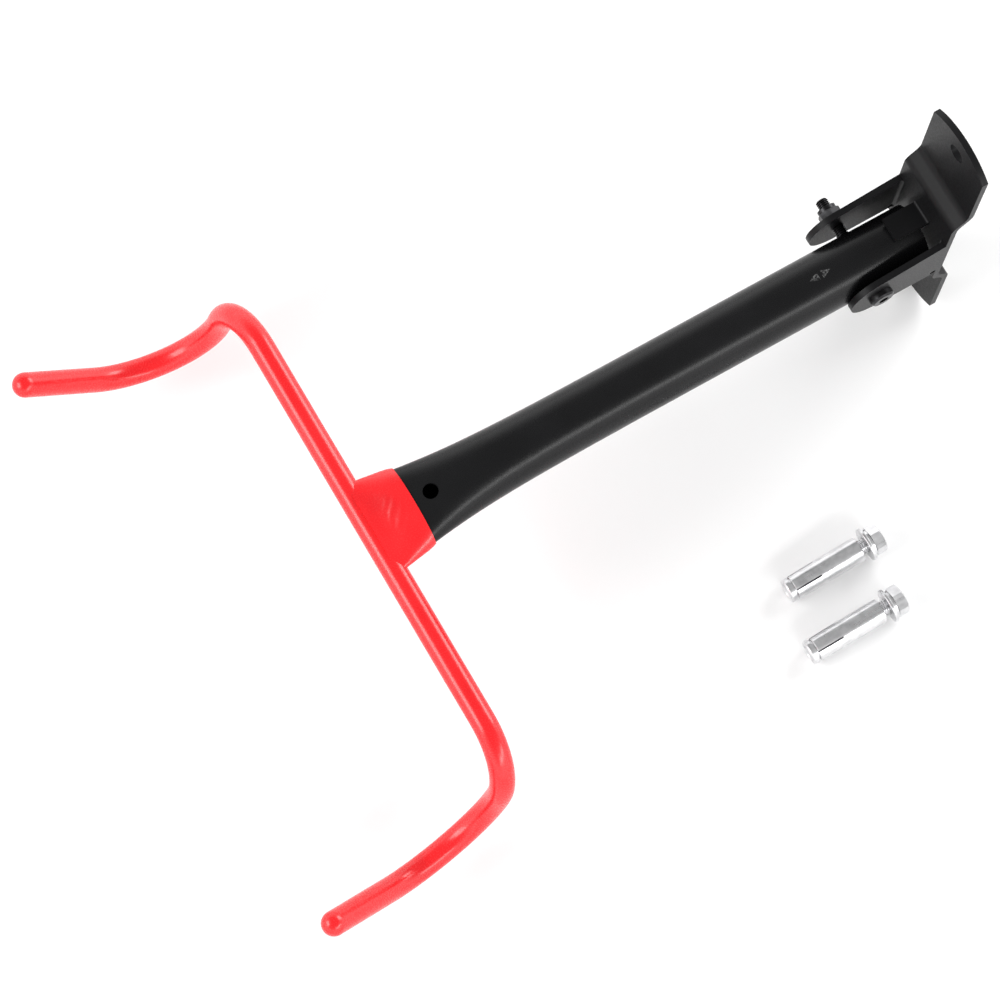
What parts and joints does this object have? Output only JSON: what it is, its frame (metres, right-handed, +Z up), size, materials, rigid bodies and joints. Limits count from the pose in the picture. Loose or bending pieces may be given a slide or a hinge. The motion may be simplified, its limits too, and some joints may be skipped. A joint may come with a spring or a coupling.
{
  "type": "folding wall bicycle hanger",
  "caption": "Fold-up wall hanger for a bicycle: a tube arm on a pivoting wall bracket ends in a dipped fork with a cradle at each side; loose wall anchors lie beside it.",
  "frame": {"origin": "midway between the two wall holes, on the wall plane that the bracket's end tabs rest on", "axes": "+Y into the wall, the arm reaches along -Y; +Z up; +X across, towards the pivot bolt's head"},
  "size_m": [0.3904, 0.5327, 0.234],
  "materials": {
    "bracket_black": "satin",
    "arm_black": "gloss",
    "dip_red": "gloss",
    "raw_steel": "satin",
    "dark_zinc": "satin",
    "nylon": "matte",
    "bright_zinc": "gloss"
  },
  "bodies": {
    "bracket": {"wall_bracket": "bracket_black", "pivot_bolt": "dark_zinc", "pivot_washer": "bright_zinc", "pivot_nut": "dark_zinc", "pivot_nut_insert": "nylon"},
    "arm": {"arm_tube": "arm_black", "fork_rod": "raw_steel", "neck_weld": "raw_steel", "fork_coating": "dip_red"},
    "anchor_1": {"anchor_bolt_1": "bright_zinc", "anchor_spring_washer_1": "bright_zinc", "anchor_washer_1": "bright_zinc", "anchor_sleeve_1": "bright_zinc", "anchor_cone_1": "bright_zinc"},
    "anchor_2": {"anchor_bolt_2": "bright_zinc", "anchor_spring_washer_2": "bright_zinc", "anchor_washer_2": "bright_zinc", "anchor_sleeve_2": "bright_zinc", "anchor_cone_2": "bright_zinc"}
  },
  "joints": [
    {"name": "arm_fold", "type": "hinge", "parent": "bracket", "child": "arm", "pos_m": [0, -0.0556, -0.0095], "axis": [-1, 0, 0], "range_deg": [0, 90]},
    {"name": "anchor_1_lift", "type": "slide", "parent": "bracket", "child": "anchor_1", "axis": [0, 0, 1], "range_m": [0, 0.15]},
    {"name": "anchor_2_lift", "type": "slide", "parent": "bracket", "child": "anchor_2", "axis": [0, 0, 1], "range_m": [0, 0.15]}
  ]
}
